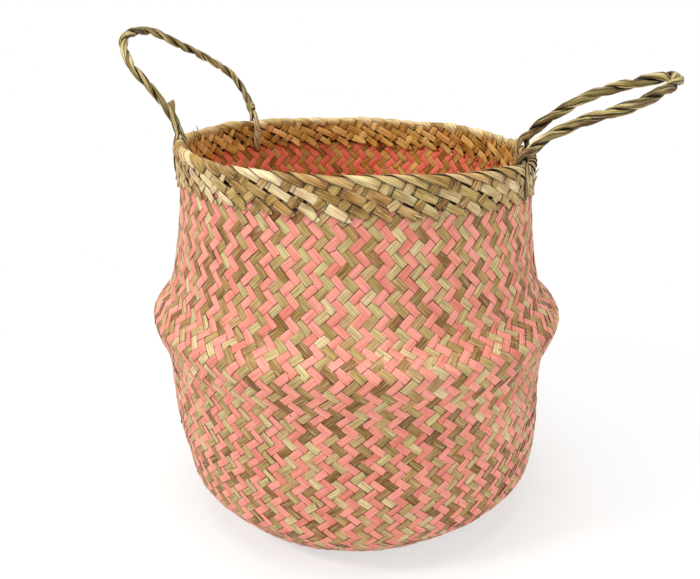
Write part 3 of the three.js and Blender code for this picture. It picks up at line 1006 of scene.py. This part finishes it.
def knot():
    """The leaf wrapped round both plies above the left handle's rear foot."""
    steps = 36 * KNOT_TURNS
    centre, axis = on_left_rope(-KNOT_START - KNOT_LENGTH, -KNOT_START, steps)
    side = unit(np.cross(axis, np.array([0.3, 0.2, 0.9])))
    other = np.cross(axis, side)
    turn = np.linspace(0, 2 * math.pi * KNOT_TURNS, steps)
    outwards = side * np.cos(turn)[:, None] + other * np.sin(turn)[:, None]
    radius = KNOT_RADIUS + 0.35 * np.sin(turn * 0.7 + 1)
    slant = 1.3 * np.sin(turn + 0.6)
    path = centre + outwards * radius[:, None] + axis * slant[:, None]
    along = unit(np.gradient(path, axis=0))
    across = np.cross(along, outwards)
    count = 3 * LOBE_POINTS
    around = np.arange(count) * 2 * math.pi / count
    ends = smoothstep(np.minimum(np.arange(steps), np.arange(steps)[::-1]), -4, 14)
    lobe = np.abs(np.sin(around * 1.5))
    grow = LOBE_LOW + 0.2 * lobe
    x = (KNOT_HALF_WIDTH * ends)[:, None] * grow * np.cos(around)
    y = (KNOT_HALF_THICKNESS * ends)[:, None] * grow * np.sin(around)
    rings = path[:, None] + across[:, None] * x[..., None] + outwards[:, None] * y[..., None]
    tones = 0.5 + 0.25 * np.sin(turn * 0.6 + 2)
    strips = Strips()
    # Painted shade darkens the wrap where its leaves meet.
    crease_shade = np.clip(lobe * 1.3, 0, 1)[None]
    strips.add(rings, np.linspace(-0.7, 0.7, count), np.full(steps, 6.0), tones, crease_shade, 0)
    piece = strips.build("left_handle_knot", rope_leaf)
    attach(piece, "left_handle")
    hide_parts("left_rear_knot")


def loose_leaf():
    """The end of a leaf that stands off the left rope above its front foot."""
    share = np.linspace(0, 1, LOOSE_POINTS)
    centre, axis = on_left_rope(LOOSE_START, LOOSE_END, LOOSE_POINTS)
    away = unit(np.cross(axis, np.array([0, -1.0, 0.35])))
    face = np.cross(away, axis)
    off = LEFT_HANDLE["ply_radius"] * 1.25 + 3.4 * smoothstep(share, 0.45, 1) ** 1.4
    path = centre + away * off[:, None] - face * (1.6 * (1 - share))[:, None]
    half = 1.3 + 1.5 * smoothstep(share, 0.5, 1)
    half = half * smoothstep(share, -0.25, 0.3)
    rings = flat_rings(path, unit(face + away * 0.4), half, 0.45)
    strips = Strips()
    tones = 0.42 + 0.2 * share
    strips.add(rings, FLAT_SECTION[:, 0], half, tones, np.ones(LOOSE_POINTS), 0)
    piece = strips.build("left_handle_loose_leaf", rope_leaf)
    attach(piece, "left_handle")


# Stray ends: angle, height, distance from the wall's middle, heading round, up and
# outwards, length and width.
STRAYS = [
    (-17, 289, 3.4, (0.3, 0.8, 0.5), 5, 2.6),
    (-20, 284, 3.4, (0.5, 0.8, 0.3), 5, 2.4),
    (-13, 282, 3.2, (0.4, 0.9, 0.2), 4.5, 2.0),
    (12, 298, 0.5, (0.3, 0.9, 0.1), 6, 1.6),
    (16, 298, -0.5, (-0.4, 0.8, 0.1), 5, 1.5),
    (166, 298, 0.5, (0.1, 1.0, 0.1), 7, 1.5),
    (169, 298, -1.0, (0.6, 0.7, 0.1), 6, 1.8),
    (-76, 276, 3.2, (0.8, -0.5, 0.3), 7, 1.2),
    (-75, 277, 3.2, (0.9, -0.3, 0.3), 8, 1.0),
    (-77, 275, 3.2, (0.6, -0.7, 0.3), 6, 1.0),
]
SHORT_STRAYS = 40
SLIVER_POINTS = 14
SLIVER_THICKNESS = 0.3


def sliver(strips, degrees, height, away, heading, length, width):
    """A stray leaf end that stands off the band, from an angle and a height along its
    heading."""
    out = outward(degrees)
    around = np.array([-out[1], out[0], 0])
    up = np.array([0, 0, 1.0])
    radius = outline_radius(height) - WALL_MIDDLE + away
    way = unit(around * heading[0] + up * heading[1] + out * heading[2])
    t = np.linspace(0, 1, SLIVER_POINTS)[:, None]
    bow = unit(np.cross(way, around + up)) * rng.normal(0, 0.12) * length
    path = out * radius + up * height + way * length * t + bow * 4 * t * (1 - t)
    face = unit(np.cross(way, np.cross(out + 0.3 * up, way)))
    half = width / 2 * (1 - 0.85 * t[:, 0] ** 2)
    rings = flat_rings(lean(path), np.tile(face, (SLIVER_POINTS, 1)), half, SLIVER_THICKNESS)
    tones = np.full(SLIVER_POINTS, rng.uniform(0, 0.7))
    strips.add(rings, FLAT_SECTION[:, 0], half, tones, np.ones(SLIVER_POINTS), 0)


def stray_ends():
    """Loose leaf ends of the band: the longer ones, and short ones all round."""
    strips = Strips()
    for stray in STRAYS:
        sliver(strips, *stray)
    for _ in range(SHORT_STRAYS):
        on_top = rng.random() < 0.4
        side = -1 if rng.random() < 0.4 else 1
        height = 298.5 if on_top else rng.uniform(274, 294)
        away = (rng.uniform(-2, 2) if on_top else 3.4) * side
        heading = (rng.uniform(0.7, 1), rng.uniform(0.1, 0.5) if on_top else -0.4, 0.05 * side)
        length = rng.uniform(2, 4)
        sliver(strips, rng.uniform(0, 360), height, away, heading, length, rng.uniform(0.8, 2))
    piece = strips.build("rim_stray_ends", rim_leaf)
    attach(piece, "neck")


weave()
rim_core()
rim_band()
handles()
knot()
loose_leaf()
stray_ends()


# Stage, in metres: a pale floor that grows plain white away from the basket, soft light
# all round, and lamps aimed at the basket's middle: name, place, width and power.
FLOOR_HALF = 12
FLOOR_HEIGHT = -0.0003
WHITE_NEAR = 0.25
WHITE_FAR = 0.6
NEAR_WHITENESS = 0.6
SOFT_STRENGTH = 0.5
LAMPS_AIM = Vector((0, 0, 0.17))
LAMPS = [
    ("key_light", (-1.65, -0.8, 1.7), 0.4, 28),
    ("fill_light", (1.4, -1.3, 1.1), 1.2, 10),
    ("top_light", (-0.1, -0.1, 2.0), 1.2, 24),
]


def floor_material():
    """Pale and matt, and more and more plain white away from the basket."""
    n = Nodes(bpy.data.materials.new("pale_floor"))
    shader = n.tree.nodes["Principled BSDF"]
    n.fill(shader, {"Base Color": rgb("f4f4f2"), "Roughness": 0.9})
    emission = n.new("Emission", {"Strength": 1})
    place = n.new("NewGeometry", {}).outputs["Position"]
    away = n.new("VectorMath", {0: place}, operation="LENGTH").outputs["Value"]
    reach = {"From Min": WHITE_NEAR, "From Max": WHITE_FAR, "To Min": NEAR_WHITENESS}
    white = n.new("MapRange", {"Value": away, **reach}, interpolation_type="SMOOTHSTEP")
    share = n.maths("MULTIPLY", n.seen_directly(), white.outputs[0])
    mixer = n.new("MixShader", {0: share, 1: shader.outputs[0], 2: emission.outputs[0]})
    n.fill(n.tree.nodes["Material Output"], {"Surface": mixer.outputs[0]})
    return n.owner


def pale_floor():
    """The floor, which takes the basket's shadow."""
    mesh = bpy.data.meshes.new("floor")
    ways = ((-1, -1), (1, -1), (1, 1), (-1, 1))
    corners = [(x * FLOOR_HALF, y * FLOOR_HALF, 0) for x, y in ways]
    mesh.from_pydata(corners, [], [(0, 1, 2, 3)])
    mesh.materials.append(floor_material())
    floor = bpy.data.objects.new("floor", mesh)
    floor.location.z = FLOOR_HEIGHT
    bpy.context.scene.collection.objects.link(floor)


def soft_world():
    """White where it is seen directly, and a softer light on everything."""
    world = bpy.data.worlds.new("soft_studio")
    bpy.context.scene.world = world
    n = Nodes(world)
    strength = n.new("Mix", {0: n.seen_directly(), 2: SOFT_STRENGTH, 3: 1}).outputs[0]
    n.fill(n.tree.nodes["Background"], {"Color": (1, 1, 1, 1), "Strength": strength})


def lamps():
    for name, place, extent, power in LAMPS:
        light = bpy.data.lights.new(name, "AREA")
        light.size = extent
        light.energy = power
        lamp = bpy.data.objects.new(name, light)
        lamp.location = place
        aim = LAMPS_AIM - Vector(place)
        lamp.rotation_euler = aim.to_track_quat("-Z", "Y").to_euler()
        bpy.context.scene.collection.objects.link(lamp)


# The photograph's camera: its width and focal length in pixels, then its place and turns.
PHOTO_WIDTH = 700
FOCAL_PIXELS = 677.85
CAMERA_DISTANCE = 548.39
CAMERA_HEIGHT = 361.93
CAMERA_PITCH = 0.3286
CAMERA_YAW = -0.0090
CAMERA_ROLL = -0.0031


def camera():
    data = bpy.data.cameras.new("camera")
    data.sensor_width = 36
    data.lens = FOCAL_PIXELS * data.sensor_width / PHOTO_WIDTH
    data.clip_start = 0.01
    data.clip_end = 60
    view = bpy.data.objects.new("camera", data)
    pitch, yaw, roll = CAMERA_PITCH, CAMERA_YAW, CAMERA_ROLL
    flat = math.cos(pitch)
    forward = Vector((math.sin(yaw) * flat, math.cos(yaw) * flat, -math.sin(pitch)))
    level = Vector((math.cos(yaw), -math.sin(yaw), 0))
    upright = level.cross(forward)
    right = level * math.cos(roll) + upright * math.sin(roll)
    up = upright * math.cos(roll) - level * math.sin(roll)
    matrix = Matrix((right, up, -forward)).transposed().to_4x4()
    matrix.translation = (0, -CAMERA_DISTANCE * METRES, CAMERA_HEIGHT * METRES)
    view.matrix_world = matrix
    bpy.context.scene.collection.objects.link(view)
    bpy.context.scene.camera = view


pale_floor()
soft_world()
lamps()
camera()
bpy.context.scene.view_settings.view_transform = "Standard"
